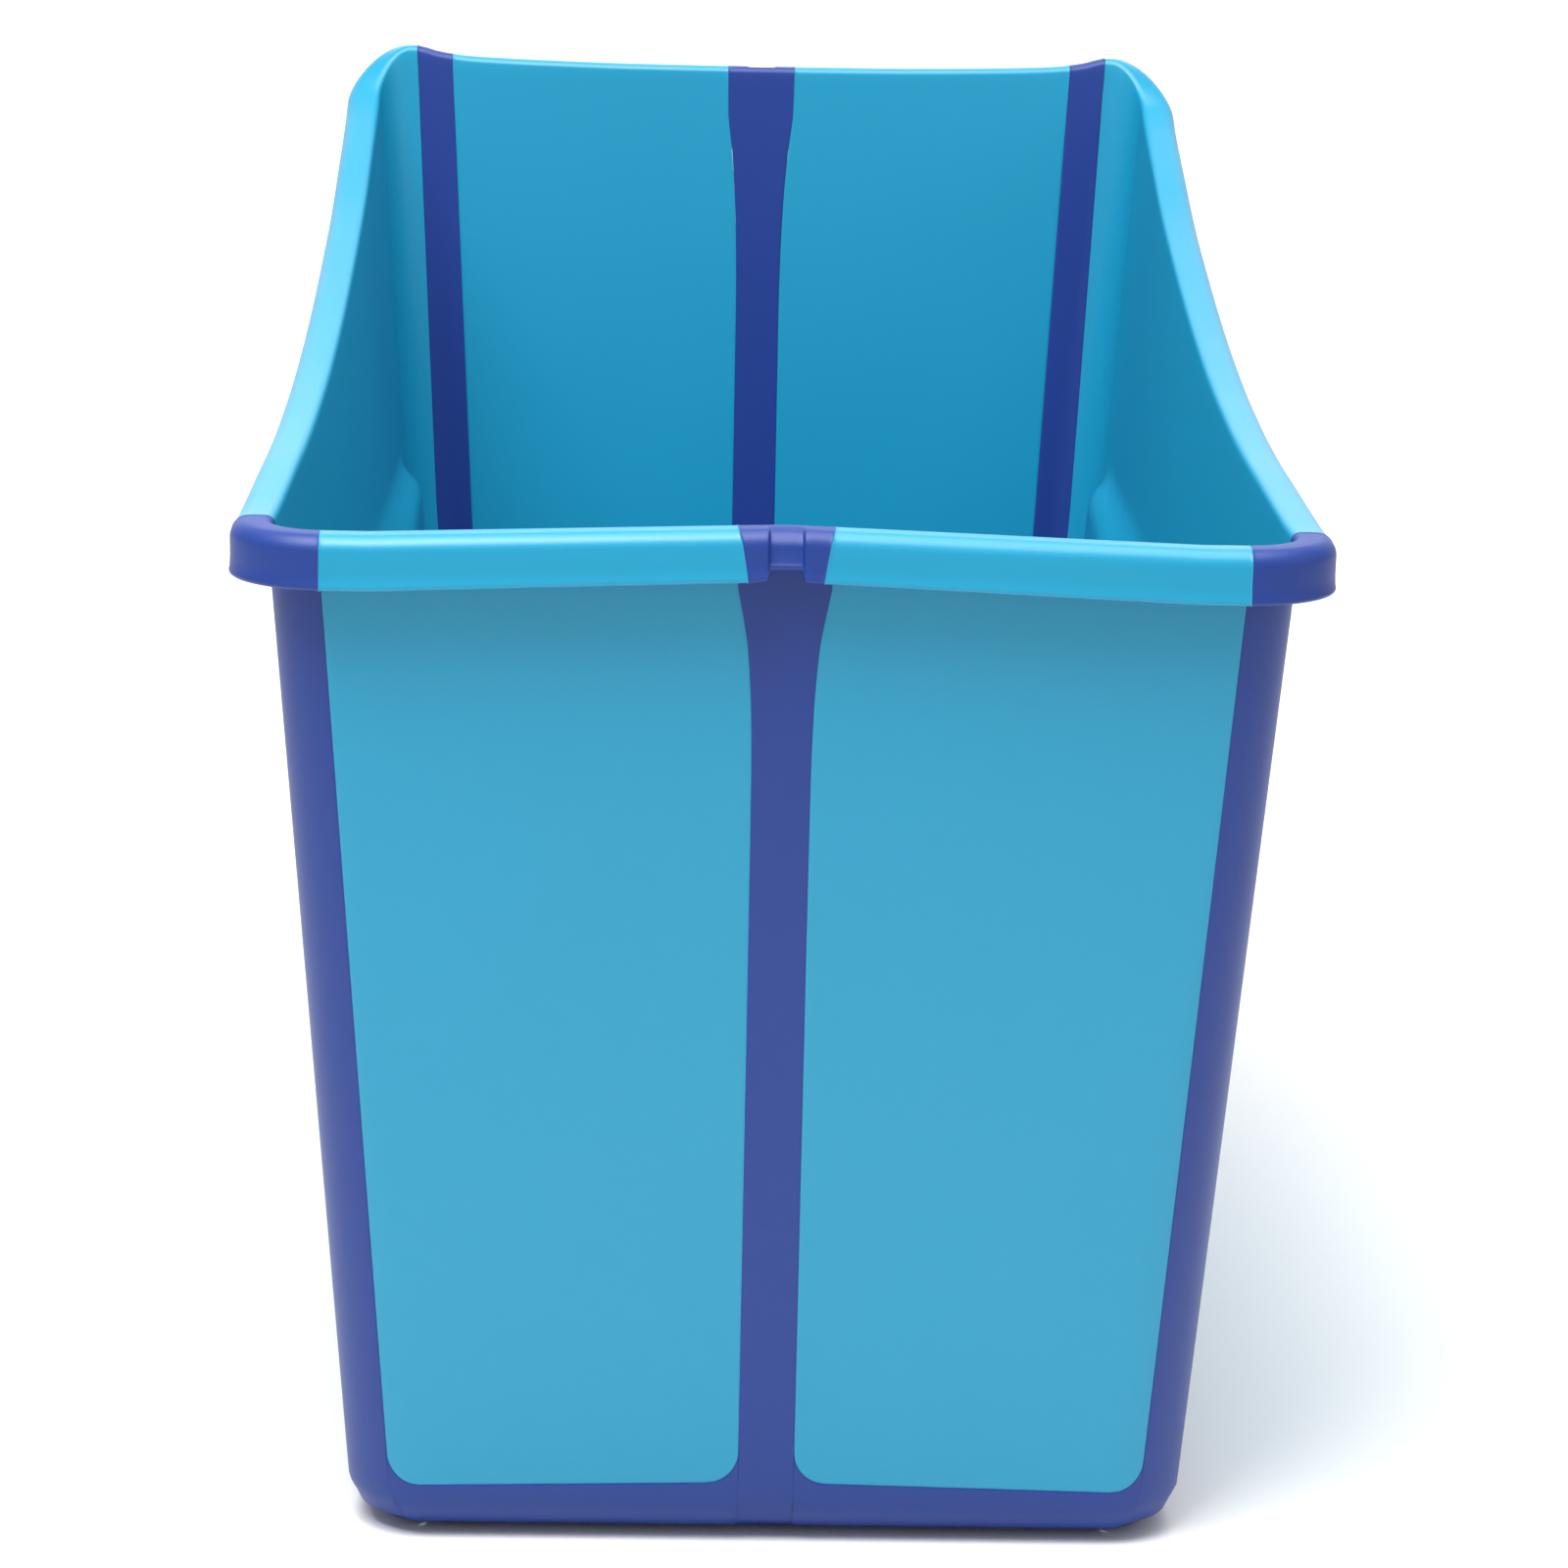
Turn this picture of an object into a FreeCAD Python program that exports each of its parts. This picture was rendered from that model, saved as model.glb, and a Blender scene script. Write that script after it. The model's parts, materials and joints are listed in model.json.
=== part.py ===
"""Folding baby bathtub: stiff moulded panels joined by soft over-moulded webs.

Frame: +Z up, origin on the ground under the middle of the tub, X across the
tub (width), Y along it. The low end is at -Y and the high end at +Y.
Left is -X and right is +X. Lengths are in millimetres.

The wall and rim pieces are cut from one thin shell, so that every panel meets
its web edge to edge. Floor parts, drain and pads are PartDesign bodies.
"""
import FreeCAD, Part
import math
import os
import re
import Sketcher

V = FreeCAD.Vector
doc = FreeCAD.newDocument("FoldingBathtub")

# ---------------------------------------------------------------- sizes
sheet = doc.addObject("Spreadsheet::Sheet", "Sizes")
SIZES = [
    ("skin", 3.0, "thickness of walls, panels and webs"),
    ("ground_gap", 3.0, "height of the floor's underside over the ground"),
    ("half_width", 202.0, "outer half width at z 0, at the low end"),
    ("side_draft", 0.077, "side walls lean out by this per mm of height"),
    ("side_taper", 0.019, "each side comes in by this per mm towards the high end"),
    ("front_at", 389.0, "distance of the low end wall from the middle at z 0"),
    ("front_draft", 0.030, "lean of the low end wall"),
    ("back_at", 362.0, "distance of the high end wall from the middle at z 0"),
    ("back_draft", 0.065, "lean of the high end wall"),
    ("corner_low", 38.0, "outer corner radius in plan at z 0"),
    ("corner_fall", 0.0167, "corner radius lost per mm of height"),
    ("bottom_round", 34.0, "outer radius between walls and floor"),
    ("rim_out", 19.0, "overhang of the rim flange"),
    ("rim_drop", 26.0, "height of the rim flange"),
    ("front_top", 496.0, "rim height at the low end"),
    ("back_top", 649.0, "rim height at the high end"),
    ("corner_top", 655.0, "rim height at the back corners"),
    ("ledge_deep", 12.0, "how far the moulded side ledge stands in"),
    ("floor_inset", 32.0, "floor webs reach in from the walls by this"),
    ("centre_half", 22.0, "half width of the floor's centre web"),
    ("gusset_half", 14.0, "half width of the web between the end triangles"),
    ("diag_half", 13.0, "half width of a diagonal web"),
    ("front_shift", 16.0, "offset of the front diagonals from the corners"),
    ("back_shift", 18.0, "offset of the back diagonals from the corners"),
    ("drain_bore", 16.0, "radius of the drain's opening"),
    ("drain_hole", 19.0, "radius of the hole in the floor panel"),
    ("drain_flange", 24.0, "radius of the drain seat's flange"),
    ("drain_across", 134.0, "drain centre from the middle plane"),
    ("drain_along", 155.0, "drain centre from the middle towards the low end"),
    ("pad_radius", 13.0, "radius of a non-slip pad"),
    ("pad_across", 150.0, "pads from the middle plane"),
    ("pad_front", 200.0, "front pads from the middle"),
    ("pad_back", 182.0, "back pads from the middle"),
]
for row, (alias, value, note) in enumerate(SIZES, start=1):
    sheet.set("A%d" % row, alias)
    sheet.set("B%d" % row, str(value))
    sheet.set("C%d" % row, note)
    sheet.setAlias("B%d" % row, alias)
doc.recompute()


def S(alias):
    return float(sheet.get(alias))


T, GAP = S("skin"), S("ground_gap")
FIN = GAP + T                       # height of the floor's upper face
TOP = 720.0                         # the walls are drawn up to here, then trimmed


# ---------------------------------------------------------------- wall planes
def half_w(z, y, out=0.0):
    return S("half_width") + S("side_draft") * z - S("side_taper") * (y + S("front_at")) + out


def front_y(z, out=0.0):
    return -(S("front_at") + S("front_draft") * z + out)


def back_y(z, out=0.0):
    return S("back_at") + S("back_draft") * z + out


def corner_r(z, out=0.0):
    return S("corner_low") - S("corner_fall") * z + out


def plan_wire(z, out):
    """Rounded outline of the tub at height z, moved outwards by out."""
    k = S("side_taper")
    n = (1 + k * k) ** 0.5
    r = corner_r(z, out)
    a = half_w(z, -S("front_at"), out)
    y0, y1 = front_y(z, out), back_y(z, out)

    def side_x(y):
        return -(a - k * (y + S("front_at")))

    def centre(y):
        return V(side_x(y) + r * n, y, z)

    cf, cb = centre(y0 + r), centre(y1 - r)
    to_side = V(-1, k, 0) * (r / n)
    pf0, pf1 = cf + V(0, -r, 0), cf + to_side
    pb1, pb0 = cb + to_side, cb + V(0, r, 0)

    def mid(c, p, q):
        d = (p - c) + (q - c)
        return c + d * (r / d.Length)

    def flip(p):
        return V(-p.x, p.y, p.z)

    left = [pf0, mid(cf, pf0, pf1), pf1, pb1, mid(cb, pb1, pb0), pb0]
    right = [flip(p) for p in left]
    edges = [
        Part.LineSegment(right[0], left[0]).toShape(),
        Part.Arc(left[0], left[1], left[2]).toShape(),
        Part.LineSegment(left[2], left[3]).toShape(),
        Part.Arc(left[3], left[4], left[5]).toShape(),
        Part.LineSegment(left[5], right[5]).toShape(),
        Part.Arc(right[5], right[4], right[3]).toShape(),
        Part.LineSegment(right[3], right[2]).toShape(),
        Part.Arc(right[2], right[1], right[0]).toShape(),
    ]
    return Part.Wire(edges)


def block(z0, z1, out):
    """The solid inside the wall planes moved outwards by out, from z0 to z1."""
    return Part.makeLoft([plan_wire(z0, out), plan_wire(z1, out)], True, True)


def rounded_block(z0, out, radius):
    s = block(z0, TOP, out)
    low = [e for e in s.Edges if all(abs(p.Point.z - z0) < 1e-3 for p in e.Vertexes)]
    return s.makeFillet(radius, low)


# ---------------------------------------------------------------- rim line
SWEEP = [(-360, 0.0), (-300, 0.016), (-250, 0.034), (-200, 0.052), (-150, 0.078), (-100, 0.112), (-60, 0.145),
         (20, 0.229), (100, 0.333), (180, 0.453), (250, 0.575), (310, 0.690), (350, 0.765), (376, 0.825),
         (389, 0.93), (398, 1.0)]


def under_rim(drop):
    """Everything below the rim's top line lowered by drop."""
    lo, hi = S("front_top"), S("corner_top")
    pts = [V(-600, y, lo + (hi - lo) * f - drop) for y, f in SWEEP]
    curve = Part.BSplineCurve()
    curve.interpolate(pts, InitialTangent=V(0, 1, 0), FinalTangent=V(0, 1, 0.15))
    back = S("back_top") - drop
    edges = [
        Part.LineSegment(V(-600, -600, -60), V(-600, -600, lo - drop)).toShape(),
        Part.LineSegment(V(-600, -600, lo - drop), pts[0]).toShape(),
        curve.toShape(),
        Part.LineSegment(pts[-1], V(-600, 403, back)).toShape(),
        Part.LineSegment(V(-600, 403, back), V(-600, 600, back)).toShape(),
        Part.LineSegment(V(-600, 600, back), V(-600, 600, -60)).toShape(),
        Part.LineSegment(V(-600, 600, -60), V(-600, -600, -60)).toShape(),
    ]
    return Part.Face(Part.Wire(edges)).extrude(V(1200, 0, 0))


def prism_xz(points, y0, y1):
    pts = [V(x, y0, z) for x, z in points]
    return Part.Face(Part.makePolygon(pts + [pts[0]])).extrude(V(0, y1 - y0, 0))


def prism_yz(points, x0, x1):
    pts = [V(x0, y, z) for y, z in points]
    return Part.Face(Part.makePolygon(pts + [pts[0]])).extrude(V(x1 - x0, 0, 0))


def prism_xy(points, z0, z1):
    pts = [V(x, y, z0) for x, y in points]
    return Part.Face(Part.makePolygon(pts + [pts[0]])).extrude(V(0, 0, z1 - z0))


def fillet_turns(points, radii, steps=6):
    """A polygon with its corners rounded by short chords; radii holds one radius per corner."""
    out = []
    n = len(points)
    for i, (p, r) in enumerate(zip(points, radii)):
        if r <= 0:
            out.append(p)
            continue
        a, c = V(*points[i - 1], 0), V(*points[(i + 1) % n], 0)
        b = V(*p, 0)
        u, w = (a - b).normalize(), (c - b).normalize()
        half = u.getAngle(w) / 2
        d = r / math.tan(half)
        m = (u + w).normalize()
        o = b + m * (r / math.sin(half))
        s, e = b + u * d - o, b + w * d - o
        turn = s.getAngle(e)
        sign = 1 if s.cross(e).z > 0 else -1
        for k in range(steps + 1):
            t = sign * turn * k / steps
            q = V(s.x * math.cos(t) - s.y * math.sin(t), s.x * math.sin(t) + s.y * math.cos(t), 0) + o
            out.append((q.x, q.y))
    return out


def mirror_x(points):
    return [(-x, y) for x, y in points]


def flip_shape(shape):
    return shape.mirror(V(0, 0, 0), V(1, 0, 0))


# ---------------------------------------------------------------- the whole shell
outer = rounded_block(GAP, 0.0, S("bottom_round"))
inner = rounded_block(FIN, -T, S("bottom_round") - T)
walls = outer.cut(inner).common(under_rim(0.0))
ring = block(440.0, TOP, S("rim_out")).cut(block(430.0, TOP + 10, -T))
lip = ring.common(under_rim(0.0)).cut(under_rim(T))
skirt = block(440.0, TOP, S("rim_out")).cut(block(430.0, TOP + 10, S("rim_out") - T))
skirt = skirt.common(under_rim(0.0)).cut(under_rim(S("rim_drop")))
shell = walls.fuse([lip, skirt]).removeSplitter()

# moulded ledge: the lower side walls stand in by ledge_deep inside a rounded outline
LEDGE = [(-318, 118), (318, 118), (338, 404), (-318, 318)]


def ledge_plane(y, z, depth):
    return V(-(half_w(z, y) - depth), y, z)


def ledge_block(grow0, grow1, d0, d1):
    """Tapered block between two outlines on planes parallel to the side wall."""
    def outline(grow, depth):
        cy = sum(p[0] for p in LEDGE) / 4
        cz = sum(p[1] for p in LEDGE) / 4
        pts = []
        for y, z in LEDGE:
            pts.append((y + (grow if y > cy else -grow), z + (grow if z > cz else -grow)))
        pts = fillet_turns(pts, [40 + grow] * 4, 5)
        pts3 = [ledge_plane(y, z, depth) for y, z in pts]
        return Part.makePolygon(pts3 + [pts3[0]])
    return Part.makeLoft([outline(grow0, d0), outline(grow1, d1)], True, True)


deep = S("ledge_deep")
ledge_in = ledge_block(0.0, 14.0, T + deep, T)
ledge_out = ledge_block(-1.0, 13.0 + 14.0 / deep, deep, -1.0)

# ---------------------------------------------------------------- outlines of the panels
# low end, left half: outer edge, bottom edge and the flared edge beside the centre band
FRONT = fillet_turns(
    [(-212.4, TOP), (-212.4, 467), (-181.5, 23.5), (-13.4, 29.5), (-13.6, 410), (-18.5, 462), (-17.3, 470), (-22.5, 494), (-22.5, TOP)],
    [0, 0, 15, 15, 60, 0, 0, 0, 0], 5)
# high end, left half
BACK = fillet_turns(
    [(-197.7, TOP), (-156.9, 27), (-13.2, 29.5), (-13.2, 565), (-20.3, 640), (-20.3, TOP)],
    [0, 15, 15, 80, 0, 0], 5)
# side wall: front edge, lower edge; it turns the back corner and ends beside the back web
SIDE = fillet_turns([(-373, TOP), (-356.5, 34), (350, 34), (350, TOP)], [0, 16, 0, 0], 5)
WRAP = [(-500, 34), (-171.7, 34), (-223, TOP), (-500, TOP)]


def front_prism(sign):
    return prism_xz(FRONT if sign < 0 else mirror_x(FRONT), -460, -340)


def back_prism(sign):
    return prism_xz(BACK if sign < 0 else mirror_x(BACK), 330, 460)


def side_prism(sign):
    a = prism_yz(SIDE, *((-500, -120) if sign < 0 else (120, 500)))
    b = prism_xz(WRAP if sign < 0 else mirror_x(WRAP), 350, 460)
    return a.fuse(b)


def solid_of(shape):
    """The single solid inside a boolean result."""
    solids = [x for x in shape.Solids if x.Volume > 1.0]
    return solids[0] if len(solids) == 1 else Part.makeCompound(solids)


front_left = solid_of(shell.common(front_prism(-1)))
back_left = solid_of(shell.common(back_prism(-1)))
side_left = solid_of(shell.common(side_prism(-1)))
net = shell.cut([front_prism(-1), front_prism(1), back_prism(-1), back_prism(1), side_prism(-1), side_prism(1)])
side_left = solid_of(side_left.fuse(ledge_in).cut(ledge_out).removeSplitter())


# ---------------------------------------------------------------- sketches bound to the sheet
def plane_of(body, role):
    return [f for f in body.Origin.OriginFeatures if f.Role == role][0]


KNOWN = {entry[0] for entry in SIZES}


def names(text):
    """Sheet aliases in an expression become full references."""
    return re.sub(r"[a-z_]+", lambda m: "Sizes." + m.group(0) if m.group(0) in KNOWN else m.group(0), text)


def value_of(text):
    """Value of an expression of sheet aliases and numbers, taken from a scratch cell."""
    sheet.set("F1", "=" + text)
    sheet.recompute()
    value = sheet.get("F1")
    return float(getattr(value, "Value", value))


def at_origin_plane(body, name, height):
    sk = body.newObject("Sketcher::SketchObject", name)
    sk.AttachmentSupport = [(plane_of(body, "XY_Plane"), "")]
    sk.MapMode = "FlatFace"
    if height != "0":
        sk.setExpression("AttachmentOffset.Base.z", names(height))
    return sk


def polygon_sketch(body, name, points, height):
    """Closed polygon on the body's XY plane; each corner is a pair of expressions."""
    sk = at_origin_plane(body, name, height)
    xy = [(value_of(a), value_of(b)) for a, b in points]
    n = len(xy)
    for i in range(n):
        p, q = xy[i], xy[(i + 1) % n]
        sk.addGeometry(Part.LineSegment(V(p[0], p[1], 0), V(q[0], q[1], 0)), False)
    for i in range(n):
        sk.addConstraint(Sketcher.Constraint("Coincident", i, 2, (i + 1) % n, 1))
    for i, (ex, ey) in enumerate(points):
        k = sk.addConstraint(Sketcher.Constraint("DistanceX", -1, 1, i, 1, xy[i][0]))
        sk.setExpression("Constraints[%d]" % k, names(ex))
        k = sk.addConstraint(Sketcher.Constraint("DistanceY", -1, 1, i, 1, xy[i][1]))
        sk.setExpression("Constraints[%d]" % k, names(ey))
    return sk


def circle_sketch(body, name, x, y, radius, height):
    sk = at_origin_plane(body, name, height)
    sk.addGeometry(Part.Circle(V(value_of(x), value_of(y), 0), V(0, 0, 1), value_of(radius)), False)
    for kind, args, text in (("DistanceX", (-1, 1, 0, 3), x), ("DistanceY", (-1, 1, 0, 3), y), ("Radius", (0,), radius)):
        k = sk.addConstraint(Sketcher.Constraint(kind, *args, value_of(text)))
        sk.setExpression("Constraints[%d]" % k, names(text))
    return sk


def pad(body, sketch, length):
    f = body.newObject("PartDesign::Pad", sketch.Name + "_pad")
    f.Profile = sketch
    f.setExpression("Length", names(length))
    return f


def make_body(name, label):
    b = doc.addObject("PartDesign::Body", name)
    b.Label = label
    return b


def side(expr, sign):
    return expr if sign < 0 else "-(" + expr + ")"


# inner faces at floor level, as expressions
WI = "(half_width-skin)"                                   # inner half width at the low end
FY = "(-front_at+skin)"                                    # inner face of the low end wall
BY = "(back_at-skin)"                                      # inner face of the high end wall
WB = "(half_width-skin-side_taper*(front_at+back_at))"     # inner half width at the high end
IN = "floor_inset"
DG = "diag_half*1.4142135"


def side_line(y):
    """Edge of the floor panel beside the side wall, at y."""
    return "(-%s+%s+side_taper*((%s)+front_at))" % (WI, IN, y)


P1Y = "%s+%s-front_shift+%s" % (FY, IN, DG)
P2Y = "%s+%s-centre_half-front_shift+%s" % (FY, WI, DG)
P3Y = "%s-(%s-centre_half-back_shift)-%s" % (BY, WB, DG)
P4Y = "%s-(%s-back_shift)-%s" % (BY, IN, DG)
G3Y = "%s+%s-gusset_half-front_shift-%s" % (FY, WI, DG)
H3Y = "%s-(%s-gusset_half-back_shift)+%s" % (BY, WB, DG)


def floor_points(sign):
    return [(side(side_line(P1Y), sign), P1Y), (side("-centre_half", sign), P2Y),
            (side("-centre_half", sign), P3Y), (side(side_line(P4Y), sign), P4Y)]


def gusset_front(sign):
    return [(side("-%s+%s+front_shift+%s" % (WI, IN, DG), sign), "%s+%s" % (FY, IN)),
            (side("-gusset_half", sign), "%s+%s" % (FY, IN)), (side("-gusset_half", sign), G3Y)]


def gusset_back(sign):
    return [(side("-%s+%s+back_shift+%s" % (WB, IN, DG), sign), "%s-%s" % (BY, IN)),
            (side("-gusset_half", sign), "%s-%s" % (BY, IN)), (side("-gusset_half", sign), H3Y)]


def plate(name, label, points, radius):
    b = make_body(name, label)
    pad(b, polygon_sketch(b, name + "_outline", points, "ground_gap"), "skin")
    doc.recompute()
    base = b.Tip
    upright = ["Edge%d" % (i + 1) for i, e in enumerate(base.Shape.Edges)
               if abs(e.Vertexes[0].Point.z - e.Vertexes[-1].Point.z) > 1.0]
    f = b.newObject("PartDesign::Fillet", name + "_corners")
    f.Base = (base, upright)
    f.Radius = radius
    doc.recompute()
    return b


def cut_hole(body, name, x, y, radius):
    uncut = body.Shape.Volume
    f = body.newObject("PartDesign::Pocket", name + "_cut")
    f.Profile = circle_sketch(body, name, x, y, radius, "0")
    f.Type = "ThroughAll"
    f.Midplane = True
    doc.recompute()
    assert body.Shape.Volume < uncut - 1.0, name


floor_left = plate("FloorPanelLeft", "floor_panel_left", floor_points(-1), 9.0)
floor_right = plate("FloorPanelRight", "floor_panel_right", floor_points(1), 9.0)
punches = {}


def punch(body):
    """Straight cutter with the outline of a floor plate."""
    low_face = min(body.Shape.Faces, key=lambda f: f.CenterOfMass.z)
    f = low_face.copy()
    f.translate(V(0, 0, -8))
    return f.extrude(V(0, 0, 30))


gussets = [
    plate("GussetFrontLeft", "gusset_panel_front_left", gusset_front(-1), 7.0),
    plate("GussetFrontRight", "gusset_panel_front_right", gusset_front(1), 7.0),
    plate("GussetBackLeft", "gusset_panel_back_left", gusset_back(-1), 7.0),
    plate("GussetBackRight", "gusset_panel_back_right", gusset_back(1), 7.0),
]
cutters = [punch(b) for b in [floor_left, floor_right] + gussets]
cut_hole(floor_right, "drain_hole_outline", "drain_across", "-drain_along", "drain_hole")

# ---------------------------------------------------------------- soft webs, cut from what is left of the shell
net = net.cut(cutters)
wi, fy, by = value_of(WI), value_of(FY), value_of(BY)
wb = value_of(WB)
ins, ch, gh = S("floor_inset"), S("centre_half"), S("gusset_half")
cf, cb = fy + ins, by - ins
big = 600.0
low = 60.0                                  # below this the webs turn into the floor


def box(x0, x1, y0, y1, z0, z1):
    return Part.makeBox(x1 - x0, y1 - y0, z1 - z0, V(x0, y0, z0))


def sx(y):
    return -wi + ins + S("side_taper") * (y + S("front_at"))


p2, p3, g3, h3 = value_of(P2Y), value_of(P3Y), value_of(G3Y), value_of(H3Y)
band = [(-14, -5), (14, -5), (14, 29.4), (26, 29.4), (26, TOP), (-26, TOP), (-26, 29.4), (-14, 29.4)]
regions = {
    "corner_web_front_left": prism_xz([(-big, -5), (sx(cf), -5), (sx(cf), low), (-195, TOP), (-big, TOP)], -big, cf),
    "corner_web_back_left": prism_xz([(-big, -5), (sx(cb), -5), (sx(cb), 40), (sx(cb) + 6, low), (-188, TOP), (-big, TOP)], cb, big),
    "centre_band_front": prism_xz(band, -big, cf),
    "centre_band_back": prism_xz(band, cb, big),
    "bottom_web_front_left": prism_xz([(sx(cf), -5), (-14, -5), (-14, 29.4), (-26, 29.4), (-26, low), (sx(cf), low)], -big, cf),
    "bottom_web_back_left": prism_xz([(sx(cb), -5), (-14, -5), (-14, 29.4), (-26, 29.4), (-26, low), (sx(cb) + 6, low), (sx(cb), 40)], cb, big),
    "bottom_web_side_left": prism_xy([(-big, cf), (sx(cf), cf), (sx(cb), cb), (-big, cb)], -5, low),
    "floor_centre_band": prism_xy([(-ch, p2), (-gh, g3), (gh, g3), (ch, p2), (ch, p3), (gh, h3), (-gh, h3), (-ch, p3)], -5, 15),
    "gusset_band_front": box(-gh, gh, cf, g3, -5, 15),
    "gusset_band_back": box(-gh, gh, h3, cb, -5, 15),
    "gusset_web_front_left": prism_xy([(sx(cf), cf), (-gh, cf), (-gh, g3), (-ch, p2), (-ch, p2 + 30), (sx(cf + 40), cf + 40)], -5, 15),
    "gusset_web_back_left": prism_xy([(sx(cb), cb), (sx(cb - 40), cb - 40), (-ch, p3 - 30), (-ch, p3), (-gh, h3), (-gh, cb)], -5, 15),
}
webs = {}
for name, region in regions.items():
    webs[name] = solid_of(net.common(region))


# ---------------------------------------------------------------- shell pieces as objects
def feature(name, shape):
    """Object that holds one shell piece; the piece is already where it belongs."""
    o = doc.addObject("Part::Feature", name)
    o.Shape = shape
    o.Label = name
    o.Placement = FreeCAD.Placement(V(0, 0, 0), FreeCAD.Rotation())
    return o


pieces = []
for name, shape in (("wall_front_left", front_left), ("wall_back_left", back_left), ("side_wall_left", side_left)):
    pieces.append(feature(name, shape))
    pieces.append(feature(name.replace("left", "right"), flip_shape(shape)))
for name, shape in webs.items():
    pieces.append(feature(name, shape))
    if name.endswith("left"):
        pieces.append(feature(name.replace("left", "right"), flip_shape(shape)))

# ---------------------------------------------------------------- drain
seat = make_body("DrainSeat", "drain_seat")
pad(seat, circle_sketch(seat, "seat_flange", "drain_across", "-drain_along", "drain_flange", "ground_gap+skin+1.2"), "1.8")
pad(seat, circle_sketch(seat, "seat_sleeve", "drain_across", "-drain_along", "drain_hole-0.3", "0.8"), "ground_gap+skin+1.2")
doc.recompute()
cut_hole(seat, "seat_bore", "drain_across", "-drain_along", "drain_bore")

gasket = make_body("DrainGasket", "drain_gasket")
pad(gasket, circle_sketch(gasket, "gasket_outline", "drain_across", "-drain_along", "drain_flange-0.8", "ground_gap+skin"), "1.2")
doc.recompute()
cut_hole(gasket, "gasket_bore", "drain_across", "-drain_along", "drain_hole-0.3")

nut = make_body("DrainNut", "drain_nut")
pad(nut, circle_sketch(nut, "nut_outline", "drain_across", "-drain_along", "drain_flange-1.5", "1.0"), "ground_gap-1.0")
doc.recompute()
cut_hole(nut, "nut_bore", "drain_across", "-drain_along", "drain_hole-0.3")

plug = make_body("DrainPlug", "drain_plug")
pad(plug, circle_sketch(plug, "plug_stem", "drain_across", "-drain_along", "drain_bore-0.25", "1.5"), "ground_gap+skin+1.5")
pad(plug, circle_sketch(plug, "plug_cap", "drain_across", "-drain_along", "drain_flange-3.5", "ground_gap+skin+3.0"), "2.0")
grip = polygon_sketch(plug, "plug_grip", [("drain_across-11", "-drain_along-2"), ("drain_across+11", "-drain_along-2"),
                                          ("drain_across+11", "-drain_along+2"), ("drain_across-11", "-drain_along+2")],
                      "ground_gap+skin+4.5")
pad(plug, grip, "4.5")
doc.recompute()

# ---------------------------------------------------------------- non-slip pads, three under each floor half
pads = []
for label, sign in (("pads_left", -1), ("pads_right", 1)):
    parts = []
    for i, along in enumerate(("-Sizes.pad_front", "(Sizes.pad_back-Sizes.pad_front)/2", "Sizes.pad_back")):
        c = doc.addObject("Part::Cylinder", "%s_%d" % (label, i))
        c.setExpression("Radius", "Sizes.pad_radius")
        c.setExpression("Height", "Sizes.ground_gap")
        c.setExpression("Placement.Base.x", ("-" if sign < 0 else "") + "Sizes.pad_across")
        c.setExpression("Placement.Base.y", along)
        parts.append(c)
    f = doc.addObject("Part::MultiFuse", "fuse_" + label)
    f.Shapes = parts
    f.Label = label
    pads.append(f)
doc.recompute()

# ---------------------------------------------------------------- check and write
everything = pieces + [floor_left, floor_right] + gussets + [seat, gasket, nut, plug] + pads
for o in doc.Objects:
    if "Invalid" in o.State or "Error" in o.State:
        raise RuntimeError("bad feature " + o.Label)
os.makedirs("parts", exist_ok=True)
for o in everything:
    if o.Shape.isNull() or not o.Shape.isValid() or not o.Shape.Solids:
        raise RuntimeError("bad shape " + o.Label)
    o.Shape.exportStep("parts/%s.step" % o.Label)
print(len(everything), "pieces")
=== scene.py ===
import bpy
import json
import math
import numpy as np
from mathutils import Vector, Matrix


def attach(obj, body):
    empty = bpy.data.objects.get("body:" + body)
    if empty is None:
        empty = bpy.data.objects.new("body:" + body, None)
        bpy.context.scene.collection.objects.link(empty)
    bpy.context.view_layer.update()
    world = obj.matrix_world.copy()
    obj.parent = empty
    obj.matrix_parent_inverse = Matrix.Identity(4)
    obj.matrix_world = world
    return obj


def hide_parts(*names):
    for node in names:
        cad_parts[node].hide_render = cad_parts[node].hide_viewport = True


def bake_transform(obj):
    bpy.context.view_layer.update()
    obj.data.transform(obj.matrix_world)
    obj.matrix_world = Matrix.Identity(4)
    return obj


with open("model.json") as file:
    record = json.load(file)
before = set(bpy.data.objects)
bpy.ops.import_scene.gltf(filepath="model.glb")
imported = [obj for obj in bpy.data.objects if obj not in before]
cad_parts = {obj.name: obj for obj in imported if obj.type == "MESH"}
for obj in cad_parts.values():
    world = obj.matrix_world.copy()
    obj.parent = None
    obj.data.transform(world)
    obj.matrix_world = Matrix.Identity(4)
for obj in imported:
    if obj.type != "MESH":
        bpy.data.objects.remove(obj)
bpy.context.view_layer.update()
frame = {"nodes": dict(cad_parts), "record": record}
MM = 0.001
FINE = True

# ------------------------------------------------------------------ sizes (mm)
T, GAP = 3.0, 3.0
FIN = GAP + T
HW, SD, ST = 202.0, 0.077, 0.019
FA, FD, BA, BD = 389.0, 0.030, 362.0, 0.065
RB = 20.0                                   # bottom round, outer
INS, CH, GH, DIAG, FS, BS = 32.0, 22.0, 14.0, 13.0, 16.0, 18.0
ROUT = 19.0
LO, HI, BACKTOP = 496.0, 655.0, 649.0


def half_w(z, y):
    return HW + SD * z - ST * (y + FA)


def front_y(z):
    return -(FA + FD * z)


def back_y(z):
    return BA + BD * z


def corner_r(z, out):
    return np.maximum(38.0 - 0.0167 * z + out, 3.0)


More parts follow.
